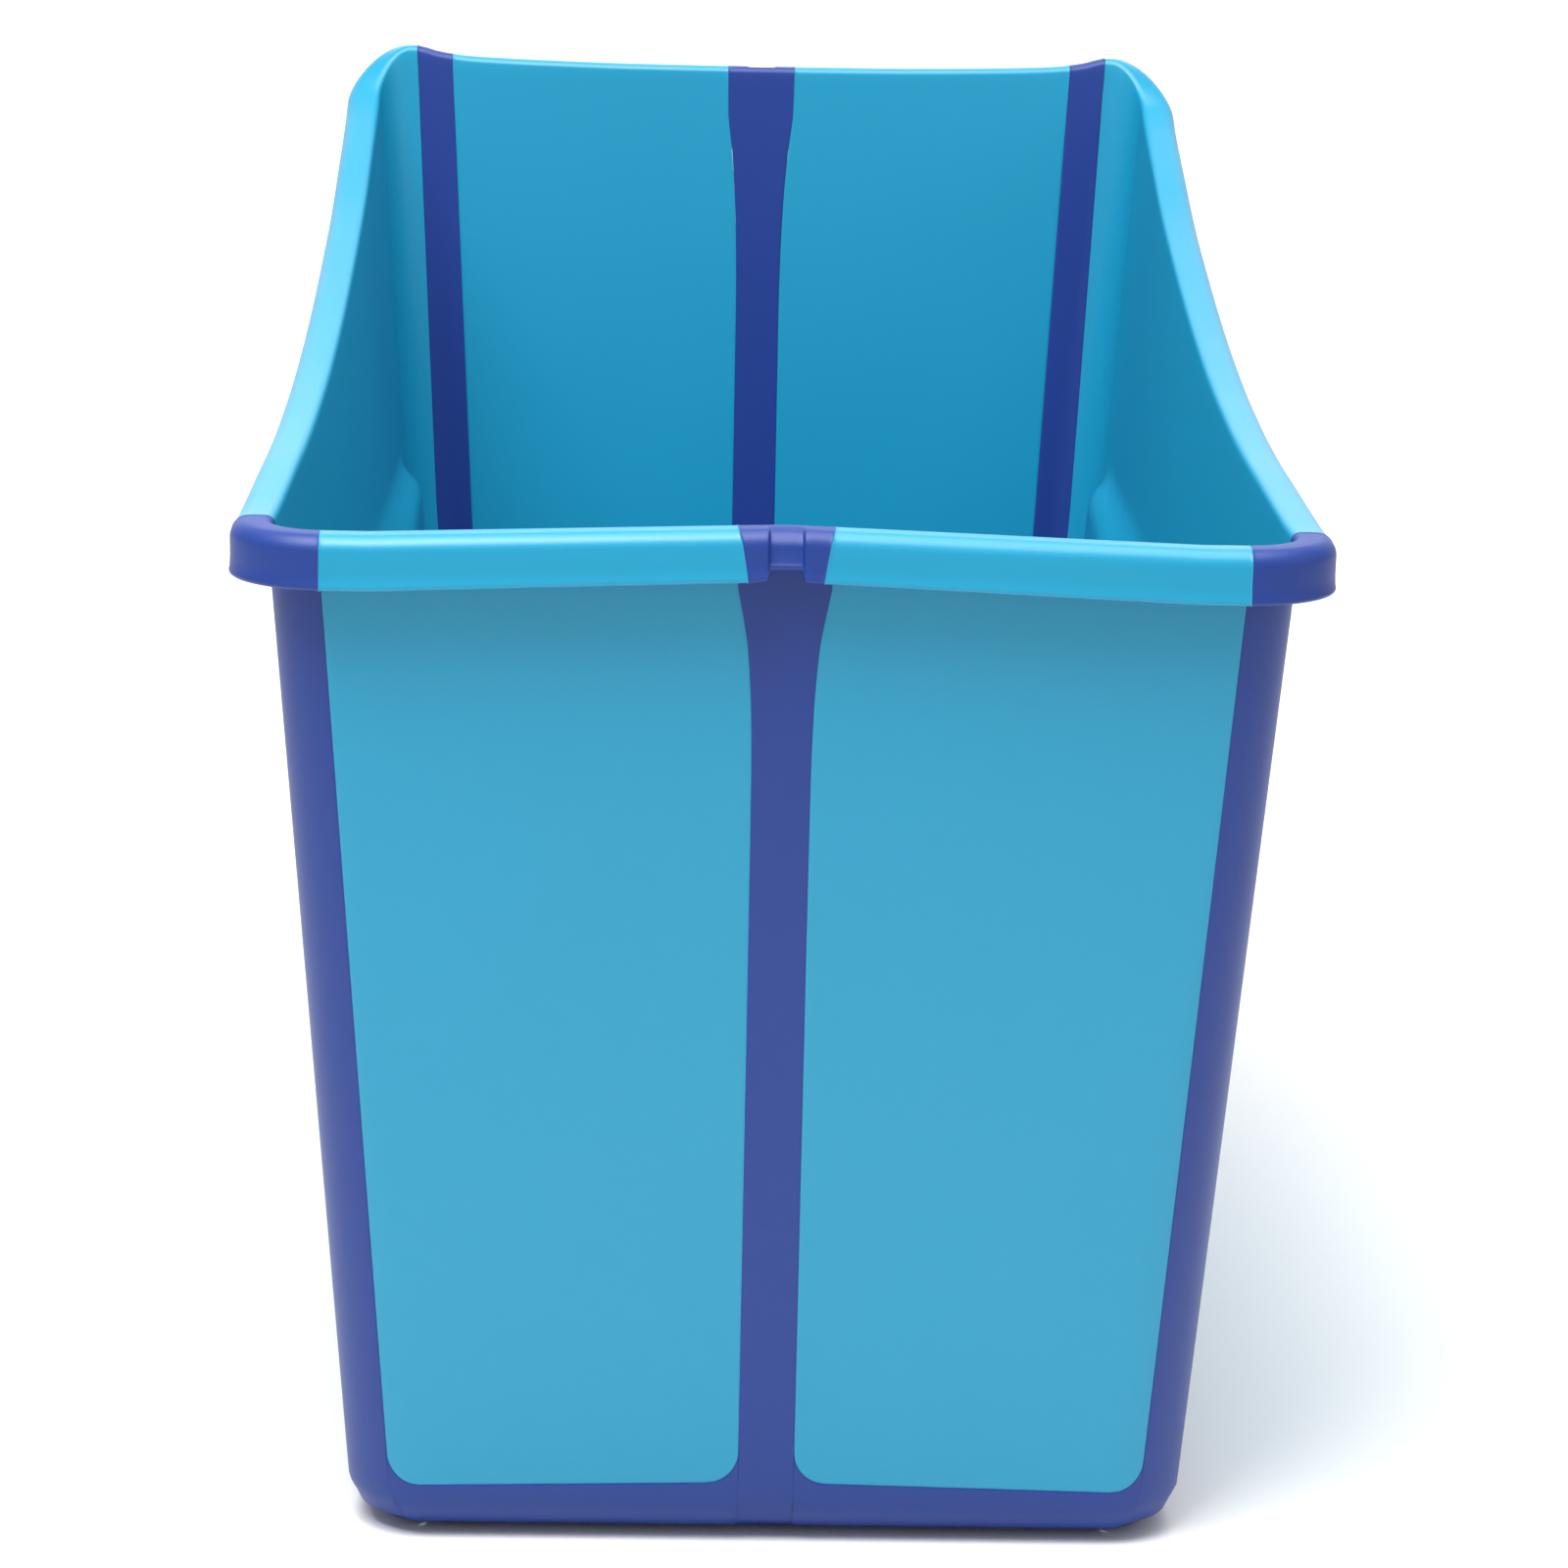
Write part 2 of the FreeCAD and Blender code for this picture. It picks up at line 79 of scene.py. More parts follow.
# the rim's top line by length along the outline: y on the side walls, then on round the corner and along the back
RIM_LINE = np.array([(-600, 496.0), (-360, 496.0), (-300, 498.5), (-250, 501.5), (-200, 504.2), (-150, 508.2), (-100, 513.8),
                     (-60, 519.0), (20, 532.4), (100, 549.0), (180, 568.0), (220, 578.4), (250, 587.4), (280, 597.0),
                     (310, 606.4), (335, 614.4), (352, 620.0), (366, 625.4), (377, 630.4), (386, 635.4), (394, 640.6),
                     (401, 645.6), (408, 650.2), (415, 653.8), (422, 655.8), (428, 656.0), (434, 655.0),
                     (442, 652.8), (452, 651.2), (462, 650.2), (480, 649.3), (510, 648.4), (560, 647.4), (650, 647.0)])


def natural(xs, ys, x):
    """Smooth interpolation through points (monotone cubic)."""
    h = np.diff(xs)
    d = np.diff(ys) / h
    m = np.zeros(len(xs))
    m[1:-1] = np.where(d[:-1] * d[1:] > 0, 2 * d[:-1] * d[1:] / np.where(d[:-1] + d[1:] == 0, 1, d[:-1] + d[1:]), 0)
    x = np.clip(x, xs[0], xs[-1])
    k = np.clip(np.searchsorted(xs, x, side="right") - 1, 0, len(h) - 1)
    t = (x - xs[k]) / h[k]
    return ((2 * t**3 - 3 * t**2 + 1) * ys[k] + (t**3 - 2 * t**2 + t) * h[k] * m[k]
            + (-2 * t**3 + 3 * t**2) * ys[k + 1] + (t**3 - t**2) * h[k] * m[k + 1])


def smooth(a, b, x):
    t = np.clip((x - a) / (b - a), 0, 1)
    return t * t * (3 - 2 * t)


def rim_z(x, y):
    """Height of the rim's top line over a point of the line that runs 8 mm outside the wall."""
    cx, cy, r = 209.5, 376.3, 35.3
    ax = np.abs(x)
    ang = np.arctan2(np.maximum(y - cy, 0), np.maximum(ax - cx, 1e-9))
    s = np.where(y <= cy, y, np.where(ax >= cx, cy + r * ang, cy + r * math.pi / 2 + (cx - ax)))
    bow = 6.3 * np.clip(1 - np.sqrt(ax * ax + 30.0) / 190.0, 0, 1) * smooth(-385, -398, y)   # the low end's rim rises to its middle
    return natural(RIM_LINE[:, 0], RIM_LINE[:, 1], s) + bow


# ------------------------------------------------------------------ plan outline of the left half
# the outline at height z and offset out is front line, corner arc, side line, corner arc, back line
def outline(z, out):
    """Pieces of the left outline for arrays z and out: corner radius, front and back lines, corner centres and the
    side's slope terms.
    """
    k = ST
    n = math.sqrt(1 + k * k)
    r = corner_r(z, out)
    a = HW + SD * z + out
    y0, y1 = front_y(z) - out, back_y(z) + out

    def sx(y):
        return -(a - k * (y + FA))

    cfx, cfy = sx(y0 + r) + r * n, y0 + r
    cbx, cby = sx(y1 - r) + r * n, y1 - r
    return r, y0, y1, cfx, cfy, cbx, cby, n, k


def place(seg, u, z, out):
    """Point on the outline. seg 0 is the front run by x (u = |x| along the wall, it goes on round the corner),
    seg 1 the side by y, seg 2 the back run by x. Beyond the straight part the point follows the corner arc by arc length."""
    r, y0, y1, cfx, cfy, cbx, cby, n, k = outline(z, out)
    u = np.broadcast_to(u, np.broadcast(u, z, out).shape).astype(float)
    r = np.broadcast_to(r, u.shape)
    if seg == 0 or seg == 2:
        cx, cy, ys = (cfx, cfy, y0) if seg == 0 else (cbx, cby, y1)
        over = u - (-cx)
        ang = np.clip(over / r, 0, math.pi / 2)
        x = np.where(over <= 0, -u, cx - r * np.sin(ang))
        y = np.where(over <= 0, ys, cy - r * np.cos(ang) if seg == 0 else cy + r * np.cos(ang))
        return x, y
    x = np.zeros(u.shape)
    y = np.zeros(u.shape)
    # side by y, running round the arcs at both ends by arc length
    f_over = (cfy) - u
    b_over = u - (cby)
    af = np.clip(f_over / r, 0, math.pi / 2)
    ab = np.clip(b_over / r, 0, math.pi / 2)
    mid = (f_over <= 0) & (b_over <= 0)
    xs = -(HW + SD * z + out - k * (u + FA))
    x = np.where(mid, xs, np.where(f_over > 0, cfx - r * np.cos(af), cbx - r * np.cos(ab)))
    y = np.where(mid, u, np.where(f_over > 0, cfy - r * np.sin(af), cby + r * np.sin(ab)))
    return x, y


# ------------------------------------------------------------------ lines between pieces
# the argument is the section height: real height on the walls, running down to 2 on the floor
FRONT_EDGE = lambda v, out=0: np.interp(v, [2, 9, 23.5, 467, 720], [164.1, 172.5, 181.5, 212.4, 212.4])
SIDE_FRONT = lambda v, out=0: -np.interp(v, [2, 34, 720], [351.0, 356.5, 373.0])
BACK_EDGE = lambda v, out=0: np.interp(v, [2, 27, 375, 650, 720], [149.6, 156.9, 176.0, 190.0, 193.0])
WRAP_EDGE = lambda v, out=0: np.interp(v, [2, 34, 375, 650, 720], [149.7, 171.7, 198.0, 211.4, 214.5])


def band_front(z, out=0):
    """Half width of the soft centre band: flared under the rim, and slanting on the rim's outer face."""
    wall = natural(np.array([-10, 300, 380, 412, 435, 450, 461, 470, 482, 720.0]),
                   np.array([13.5, 13.6, 13.8, 14.4, 15.7, 17.2, 19.4, 21.4, 22.3, 22.3]), z)
    lip = natural(np.array([-10, 474, 486, 496, 502, 508, 720.0]), np.array([16.9, 17.0, 18.4, 20.2, 21.8, 22.6, 22.6]), z)
    t = smooth(7.0, 13.0, np.asarray(out, float))
    return wall * (1 - t) + lip * t


def band_back(z, out=0):
    zs = np.array([-10, 500, 550, 590, 625, 720.0])
    xs = np.array([13.2, 13.2, 14.2, 16.6, 20.3, 20.3])
    return natural(zs, xs, z)


# ------------------------------------------------------------------ profile of the shell
def section(zv, inner):
    """Maps a section height zv (heights under GAP+RB are spread over the bottom round and floor) to z and out."""
    rr = RB - T if inner else RB
    base = FIN if inner else GAP
    off = -T if inner else 0.0
    top = GAP + RB
    zv = np.asarray(zv, float)
    t = np.clip((top - zv) / RB, 0, 1)          # 0 at the top of the round, 1 at the floor
    ang = t * math.pi / 2
    z = np.where(zv >= top, zv, base + rr - rr * np.sin(ang))
    out = np.where(zv >= top, off, off - rr * (1 - np.cos(ang)))
    flat = np.clip(GAP - zv, 0, None)           # beyond the round: along the floor
    out = out - flat
    z = z + (-0.3 if inner else 0.3) * smooth(15.0, 15.6, flat)
    return z, out


# rim section as (out, dh): out from the outer wall face, dh from the rim's top line
def arc(cx, cy, r, a0, a1, n):
    return [(cx + r * math.cos(math.radians(a0 + (a1 - a0) * i / n)), cy + r * math.sin(math.radians(a0 + (a1 - a0) * i / n))) for i in range(n + 1)]


N = 6 if FINE else 4
RIM = []
RIM += [(0.0, -30.0), (0.0, -16.0)]
RIM += arc(5.0, -8.2, 5.0, 180, 90, N)                          # inner corner under the lip
RIM += arc(ROUT - 2.6 - 4.5, -7.7, 4.5, 90, 0, N)
RIM += [(ROUT - 2.6, -15.0), (ROUT - 2.6, -24.8)]
RIM += arc(ROUT - 1.3, -24.8, 1.3, 180, 360, N)                 # lower edge of the flange
RIM += [(ROUT + 0.05, -24.2), (ROUT - 0.40, -23.4), (ROUT - 1.1, -17.0)]
RIM += arc(ROUT - 10.6, -8.9, 8.9, 8, 90, N + 4)                 # wide outer shoulder
RIM += [(5.0, 0.12)]
RIM += arc(-T + 3.6, -3.6, 3.6, 90, 180, N)
RIM += [(-T, -8.0), (-T, -16.0), (-T, -30.0)]
RIM = np.array(RIM)


EDGE_IN = 0.32


def dip(dist):
    """How far a face drops at a seam: dist is the distance in mm from the piece's edge."""
    return EDGE_IN * np.clip(1 - dist / 0.8, 0, 1) ** 2


def ledge_depth(y, z):
    """Inward step of the side wall, in mm. Its sloping top is a narrow point at the high end and widens towards the low end."""
    top = np.interp(y, [-318, 345], [386, 409])          # where the slope starts
    low = np.interp(y, [-318, 345], [268, 401])          # where it reaches full depth
    up = np.clip((top - z) / (top - low), 0, 1)
    e = 0.10                                             # rounds both ends of the slope a little
    up = np.where(up < e, up * up / (2 * e), np.where(up > 1 - e, 1 - e - (1 - up) ** 2 / (2 * e), up - e / 2)) / (1 - e)
    foot = smooth(112, 134, z)
    ends = smooth(-322, -296, y) * (1 - smooth(322, 346, y))
    return 12.0 * up * foot * ends


NOTCH = 8.3


NOTCH = 8.3
SEAM = np.array([0.0, 0.12, 0.35, 0.8, 2.0])


def piece(cols, zbot, ztop=None, dist=None, ledge=False, notch=None, nz=34, seam_low=True, seam_high=True, soft=False):
    """Section loops of one shell piece on the left half: rows go up the outer face, over the rim and down the inner face.
    cols(ci, z, out, v) places column ci; zbot and ztop are the start and end section heights of each column
    (no ztop: the piece runs over the rim); dist is each column's distance in mm from the piece's side edges."""
    n = len(zbot)
    ci = np.arange(n)
    over_rim = ztop is None
    zr = np.full(n, 560.0)
    if over_rim:
        for _ in range(10):
            x, y = cols(ci, zr - 6.0, np.full(n, 8.0), zr - 6.0)
            zr = rim_z(x, y)
    zend = zr - 30.0 if over_rim else np.asarray(ztop, float)
    far = np.full(n, 99.0)
    rows = []
    for q in SEAM[:-1]:
        rows.append((zbot + q, dip(far if not seam_low else np.full(n, q))))
    for t in np.linspace(0, 1, nz):
        last = zend if over_rim else zend - 2.0
        rows.append(((zbot + 2.0) * (1 - t) + last * t, np.zeros(n)))
    if not over_rim:
        for q in SEAM[:-1][::-1]:
            rows.append((zend - q, dip(far if not seam_high else np.full(n, q))))
    dd = dip(dist)
    loops = []

    def put(v, d, inner):
        z, o = section(v, inner)
        if ledge:
            x, y = cols(ci, z, o, v)
            o = o - ledge_depth(y, v)
        ang = np.clip((GAP + RB - v) / RB, 0, 1) * math.pi / 2
        s = d if inner else -d
        o = o + s * np.cos(ang)
        z = z - s * np.sin(ang)
        x, y = cols(ci, z, o, v)
        return np.stack([x, y, z], 1)

    def side_dip(v):
        return dd * smooth(24.0, 38.0, v) if soft else dd        # soft pieces run into each other at the bottom

    for v, d in rows:
        loops.append(put(v, np.maximum(d, side_dip(v)), False))
    if over_rim:
        for i in range(1, len(RIM) - 1):
            o, dh = RIM[i]
            tan = RIM[i + 1] - RIM[i - 1]
            tan = tan / max(1e-9, math.hypot(*tan))
            oo = np.full(n, o)
            x0, y0 = cols(ci, zr - 6.0, np.full(n, 8.0), zr - 6.0)
            lift = 1.0 + 1.6 * np.clip(1 - np.abs(x0) / 190.0, 0, 1) * smooth(-385, -398, y0)
            hh = dh + lift * smooth(-15.0, -22.0, dh) * (1.0 if o > 10 else 0.0)
            if notch is not None:
                w = notch
                oo = oo - 2.6 * w * smooth(6.0, ROUT - 4.0, o)
                hh = hh + 5.0 * w * smooth(-14.0, -22.0, dh) * (1.0 if o > 10 else 0.0)
                hh = hh - 1.5 * w * smooth(-12.0, -2.0, dh) * smooth(2.0, 9.0, o)
            oo = oo - tan[1] * dd * -1.0
            zz = zr + hh + (-tan[0]) * dd * 1.0
            x, y = cols(ci, zz, oo, zz)
            loops.append(np.stack([x, y, zz], 1))
    for v, d in rows[::-1]:
        loops.append(put(v, np.maximum(d, side_dip(v)), True))
    return np.array(loops)


def mesh_from_loop(name, P, flip=False):
    """P is rows x columns: rows run round the closed section, columns along the piece; the two end sections are capped."""
    if flip:
        P = P * np.array([-1, 1, 1])
    rows, n, _ = P.shape
    verts = (P.reshape(-1, 3) * MM).tolist()
    faces = []
    idx = lambda r, c: (r % rows) * n + c
    for r in range(rows):
        for c in range(n - 1):
            f = (idx(r, c), idx(r, c + 1), idx(r + 1, c + 1), idx(r + 1, c))
            faces.append(f[::-1] if flip else f)
    # caps: strips between the two halves of the loop
    half = rows // 2
    for c, rev in ((0, False), (n - 1, True)):
        for r in range(half - 1 if rows % 2 == 0 else half):
            a, b = r, r + 1
            q, p = rows - 1 - r, rows - 2 - r
            f = [idx(a, c), idx(b, c), idx(p, c), idx(q, c)]
            f = list(dict.fromkeys(f))
            if len(f) < 3:
                continue
            if rev:
                f = f[::-1]
            faces.append(tuple(f[::-1] if flip else f))
    me = bpy.data.meshes.new(name)
    me.from_pydata(verts, [], faces)
    me.validate()
    me.update()
    o = bpy.data.objects.new(name, me)
    bpy.context.scene.collection.objects.link(o)
    for p in me.polygons:
        p.use_smooth = True
    import bmesh
    bm = bmesh.new()
    bm.from_mesh(me)
    bmesh.ops.remove_doubles(bm, verts=bm.verts, dist=1e-6)
    bmesh.ops.dissolve_degenerate(bm, edges=bm.edges, dist=1e-7)
    bmesh.ops.recalc_face_normals(bm, faces=bm.faces)
    bm.to_mesh(me)
    bm.free()
    me.set_sharp_from_angle(angle=math.radians(38))
    return o


shell = {}
OBJ = {}


def add(name, P, only=None):
    """Makes the left piece and its mirror image."""
    out = []
    for side, flip in (("left", False), ("right", True)):
        if only and side != only:
            continue
        o = mesh_from_loop(name + "_" + side, P, flip)
        OBJ[o.name] = o
        out.append(o)
    return out


def run_cols(seg, w, a, b):
    def cols(ci, z, out, v):
        ea, eb = a(v, out), b(v, out)
        return place(seg, ea + (eb - ea) * w[ci], z, out)
    return cols


def foot(za, zb, w, width, ra, rb):
    """Start heights of columns across a panel with rounded lower corners."""
    x = w * width
    z = za + (zb - za) * w
    for r, d in ((ra, x), (rb, width - x)):
        if r > 0:
            q = np.clip(r - d, 0, r)
            z = z + r - np.sqrt(np.maximum(r * r - q * q, 0))
    return z


def places(width, n_mid, left_round=False, right_round=False):
    """Places in 0..1, close together at the seams and over rounded corners, and their distance from the nearer edge."""
    base = [0.0, 0.1, 0.3, 0.8, 2.0]
    left = np.array(base + ([3.2, 5.0, 7.5, 10.5, 15.0] if left_round else [4.5]))
    right = np.array(base + ([3.2, 5.0, 7.5, 10.5, 15.0] if right_round else [4.5]))
    mid = np.linspace(left[-1], width - right[-1], n_mid + 2)[1:-1]
    x = np.concatenate([left, mid, (width - right)[::-1]])
    return x / width, np.minimum(x, width - x)


FLOOR = -12.0                                # where the walls' bottom meets the floor pieces
UNDER = -19.0                                # strips run on a little inside the floor pieces
zero = lambda v: np.zeros(np.shape(v))

# low end: panels and the strip under them
w, d = places(168.0, 26, True, True)
zb = foot(31.5, 28.0, w, 168.0, 15, 15)
add("wall_panel_front", piece(run_cols(0, w, band_front, FRONT_EDGE), zb, None, d))
add("bottom_strip_front", piece(run_cols(0, w, band_front, FRONT_EDGE), np.full(len(w), UNDER), zb, np.full(len(w), 99.0), nz=22, seam_low=False))
# high end
w, d = places(144.0, 24, True, True)
zb = foot(31.5, 30.0, w, 144.0, 15, 15)
add("wall_panel_back", piece(run_cols(2, w, band_back, BACK_EDGE), zb, None, d))
add("bottom_strip_back", piece(run_cols(2, w, band_back, BACK_EDGE), np.full(len(w), UNDER), zb, np.full(len(w), 99.0), nz=22, seam_low=False))

# centre bands, from the middle outwards; the rim is notched in the middle
def band_places(wide):
    x = np.array([0, 2.5, 5.0, 6.6, 7.4, 8.0, 8.3, 8.6, 9.2, 10.2, 11.2])
    k = 11.2 / wide
    e = np.array([0.0, 0.1, 0.3, 0.8, 1.6])
    return x, e


def band_cols(seg, edge, fine):
    def cols(ci, z, out, v):
        e = edge(v, out)
        kind, val = fine[ci, 0], fine[ci, 1]
        u = np.where(kind == 0, np.minimum(val, e - 2.0 + 0 * val), e - val)
        return place(seg, u, z, out)
    return cols


mid_x = [0, 2.5, 5.0, 6.4, 7.2, 7.8, 8.2, 8.6, 9.2, 10.0, 10.8]
edge_d = [1.9, 1.3, 0.8, 0.3, 0.1, 0.0]
fine = np.array([(0, x) for x in mid_x] + [(1, q) for q in edge_d], float)
bd = np.array([99.0] * len(mid_x) + edge_d)
nw = np.array([1 - smooth(7.0, 8.8, x) for x in mid_x] + [0.0] * len(edge_d))
add("soft_band_front", piece(band_cols(0, band_front, fine), np.full(len(fine), FLOOR), None, bd, notch=nw, nz=60, seam_low=False, soft=True))
add("soft_band_back", piece(band_cols(2, band_back, fine), np.full(len(fine), FLOOR), None, bd, notch=nw, nz=60, seam_low=False, soft=True))


# side walls: along the side by y, round the back corner, then to the wrap line
SP = [("f", q) for q in (0.0, 0.1, 0.3, 0.8, 2.0, 3.5, 5.5, 8.0, 11.5, 16.0)]
SP += [("m", t) for t in np.linspace(0, 1, 90 if FINE else 50)[1:-1]]
SP += [("c", t) for t in np.linspace(0, 1, 18)]
SP += [("w", q) for q in (12.0, 8.0, 4.5, 2.0, 0.8, 0.3, 0.1, 0.0)]
KIND = np.array([{"f": 0, "m": 1, "c": 2, "w": 3}[k] for k, _ in SP])
VAL = np.array([v for _, v in SP], float)


def side_cols(ci, z, out, v, last=WRAP_EDGE, kind=KIND, val=VAL):
    z = np.broadcast_to(np.asarray(z, float), ci.shape)
    out = np.broadcast_to(np.asarray(out, float), ci.shape)
    v = np.broadcast_to(np.asarray(v, float), ci.shape)
    r, y0, y1, cfx, cfy, cbx, cby, n, k = outline(z, out)
    ys = SIDE_FRONT(v)
    kd, t = kind[ci], val[ci]
    yy = np.where(kd == 0, ys + t, ys + 16.0 + (cby - ys - 16.0) * t)
    x1, y1_ = place(1, yy, z, out)
    ang = t * math.pi / 2
    far = np.maximum(-cbx, 0)
    wr = last(v)
    # arc columns end at the wrap line where that lies on the arc
    over = np.clip((wr - far) / r, 0, math.pi / 2)
    a_end = math.pi / 2 - over
    a = t * np.where(kd == 2, a_end, 0)
    x2, y2 = cbx - r * np.cos(a), cby + r * np.sin(a)
    room = np.maximum(far - wr, 0.0)
    u3 = wr + np.minimum(t, room * np.minimum(t / 12.0, 1.0))
    x3, y3 = place(2, u3, z, out)
    x = np.where(kd <= 1, x1, np.where(kd == 2, x2, x3))
    y = np.where(kd <= 1, y1_, np.where(kd == 2, y2, y3))
    return x, y


zb3 = np.full(len(SP), 34.0)
d3 = np.full(len(SP), 99.0)
f = KIND == 0
zb3[f] += 16 - np.sqrt(np.maximum(256 - (16 - VAL[f]) ** 2, 0))
d3[f] = VAL[f]
d3[KIND == 3] = VAL[KIND == 3]
add("side_wall_panel", piece(side_cols, zb3, None, d3, ledge=True, nz=90 if FINE else 50))
# strip under the side wall, up to the start of the back corner
keep = np.where(KIND <= 1)[0]
last_m = np.append(keep, np.where(KIND == 2)[0][:1])
sub_k, sub_v = KIND[last_m], VAL[last_m]
add("bottom_strip_side", piece(lambda ci, z, o, v: side_cols(ci, z, o, v, kind=sub_k, val=sub_v), np.full(len(last_m), UNDER), zb3[last_m], np.full(len(last_m), 99.0), nz=22, seam_low=False))
# foot of the back corner, from the side round to the back web
rest_c = np.where(KIND >= 2)[0]
rk, rv = KIND[rest_c], VAL[rest_c]
add("corner_foot_back", piece(lambda ci, z, o, v: side_cols(ci, z, o, v, kind=rk, val=rv), np.full(len(rest_c), FLOOR), zb3[rest_c], np.full(len(rest_c), 99.0), nz=20, seam_low=False))

# back webs, between the back panel and the side wall's wrap
w, d = places(22.0, 8)
add("soft_corner_back", piece(run_cols(2, w, BACK_EDGE, WRAP_EDGE), np.full(len(w), FLOOR), None, d, nz=60, seam_low=False, soft=True))


# front corner webs
def corner_cols(w):
    def cols(ci, z, out, v):
        z = np.broadcast_to(np.asarray(z, float), ci.shape)
        out = np.broadcast_to(np.asarray(out, float), ci.shape)
        r, y0, y1, cfx, cfy, cbx, cby, n, k = outline(z, out)
        arc_l = r * math.pi / 2
        s0 = FRONT_EDGE(v) + cfx
        s1 = arc_l + SIDE_FRONT(v) - cfy
        s = s0 + (s1 - s0) * w[ci]
        ang = np.clip(s / r, 0, math.pi / 2)
        ys = cfy + np.maximum(s - arc_l, 0)
        x = np.where(s <= 0, cfx - s, np.where(s <= arc_l, cfx - r * np.sin(ang), -(HW + SD * z + out - ST * (ys + FA))))
        y = np.where(s <= 0, y0, np.where(s <= arc_l, cfy - r * np.cos(ang), ys))
        return x, y
    return cols


w, d = places(50.0, 22)
add("soft_corner_front", piece(corner_cols(w), np.full(len(w), FLOOR), None, d, nz=60, seam_low=False, soft=True))


# ------------------------------------------------------------------ floor webs
def strip(name, corner, a0, a1, b0, b1, nu, nv, flip):
    """Flat soft strip on the floor between the line a0-a1 and the line b0-b1, with a tip at the floor's corner.
    Its edges run on inside the thickness of the stiff plates beside it."""
    c, a0, a1, b0, b1 = (np.array(q, float) for q in (corner, a0, a1, b0, b1))
    ends = [(c * (1 - t) + a0 * t, c * (1 - t) + b0 * t) for t in (0.03, 0.35, 0.7)]
    ends += [(a0 * (1 - t) + a1 * t, b0 * (1 - t) + b1 * t) for t in np.linspace(0, 1, nu + 1)]
    g = np.array([[p * (1 - q_) + q * q_ for q_ in np.linspace(0, 1, nv + 1)] for p, q in ends])
    low = np.concatenate([g, np.full(g.shape[:2] + (1,), GAP + 0.25)], 2)
    high = np.concatenate([g, np.full(g.shape[:2] + (1,), FIN - 0.25)], 2)
    P = np.concatenate([low, high[::-1]], 0)
    o = mesh_from_loop(name, P, flip)
    OBJ[o.name] = o
    return o


WIN, FYI, BYI = HW - T, -FA + T, BA - T
WBI = WIN - ST * (FA + BA)
S2 = math.sqrt(0.5)


def sx(y):
    return -WIN + INS + ST * (y + FA)


d2 = DIAG * math.sqrt(2)
cf_, cb_ = FYI + INS, BYI - INS
p1y, p2y = FYI + INS - FS + d2, FYI + WIN - CH - FS + d2
p4y, p3y = BYI - (INS - BS) - d2, BYI - (WBI - CH - BS) - d2
g1x, g3y = -WIN + INS + FS + d2, FYI + WIN - GH - FS - d2
h1x, h3y = -WBI + INS + BS + d2, BYI - (WBI - GH - BS) + d2
nu, nv = 14, 16
for side, flip in (("left", False), ("right", True)):
    strip("gusset_strip_front_" + side, (sx(cf_) - 2, cf_ - 2), (sx(p1y + 10), p1y + 10), (-CH, p2y + 10), (g1x + 10, cf_), (-GH, g3y - 10), nu, nv, flip)
    strip("gusset_strip_back_" + side, (sx(cb_) - 2, cb_ + 2), (sx(p4y - 10), p4y - 10), (-CH, p3y - 10), (h1x + 10, cb_), (-GH, h3y + 10), nu, nv, flip)

# ------------------------------------------------------------------ what moves with what
for side, s in (("left", 1), ("right", -1)):
    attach(OBJ["wall_panel_front_" + side], "front_" + side)
    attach(OBJ["wall_panel_back_" + side], "back_" + side)
    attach(OBJ["side_wall_panel_" + side], "side_" + side)
    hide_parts("wall_front_" + side)
    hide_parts("wall_back_" + side)
    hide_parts("side_wall_" + side)
    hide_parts("corner_web_front_" + side)
    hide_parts("corner_web_back_" + side)
    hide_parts("bottom_web_side_" + side)
    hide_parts("bottom_web_front_" + side)
    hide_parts("bottom_web_back_" + side)
    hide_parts("gusset_web_front_" + side)
    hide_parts("gusset_web_back_" + side)
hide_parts("centre_band_front")
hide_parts("centre_band_back")


def bend(name, start, end, along=None):
    o = OBJ[name]
    s, e = np.array(start, float), np.array(end, float)
    if along is not None:
        l = np.array(along, float)
        l /= np.linalg.norm(l)
        d = e - s
        e = s + d - l * (d @ l)
    if name.endswith("right"):
        s, e = s * [-1, 1, 1], e * [-1, 1, 1]
    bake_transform(o)


lean = (-0.073, -0.027, 1.0)
corner_a, corner_b = (-205.5, -358.5, 40.0), (-183.5, -392.0, 40.0)
bend("soft_corner_front_left", corner_a, corner_b, lean)
bend("soft_corner_front_right", corner_a, corner_b, lean)
lean_b = (-0.068, 0.065, 1.0)
back_a, back_b = (-173.5, 364.0, 40.0), (-158.5, 364.0, 40.0)
for part in ("soft_corner_back", "corner_foot_back"):
    bend(part + "_left", back_a, back_b, lean_b)
    bend(part + "_right", back_a, back_b, lean_b)
for end, y in (("front", -395.0), ("back", 375.0)):
    bend("soft_band_%s_left" % end, (-13.2, y, 200), (-4.5, y, 200))
    bend("soft_band_%s_right" % end, (-13.2, y, 200), (-4.5, y, 200))
taper = (ST, 1.0, 0.0)
bend("bottom_strip_side_left", (-203.5, -350, 32), (-171.0, -350, 5), taper)
bend("bottom_strip_side_right", (-203.5, -350, 32), (-171.0, -350, 5), taper)
for side in ("left", "right"):
    bend("bottom_strip_front_" + side, (-90, -357, 4), (-90, -389, 26))
    bend("bottom_strip_back_" + side, (-90, 330, 4), (-90, 362, 26))
    c = DIAG * S2 * 0.9
    m = np.array([-WIN + 76.0, FYI + 60.0, 4.5])
    bend("gusset_strip_front_" + side, m + [-c, c, 0], m + [c, -c, 0])
    m = np.array([-WBI + 78.0, BYI - 60.0, 4.5])
    bend("gusset_strip_back_" + side, m + [-c, -c, 0], m + [c, c, 0])


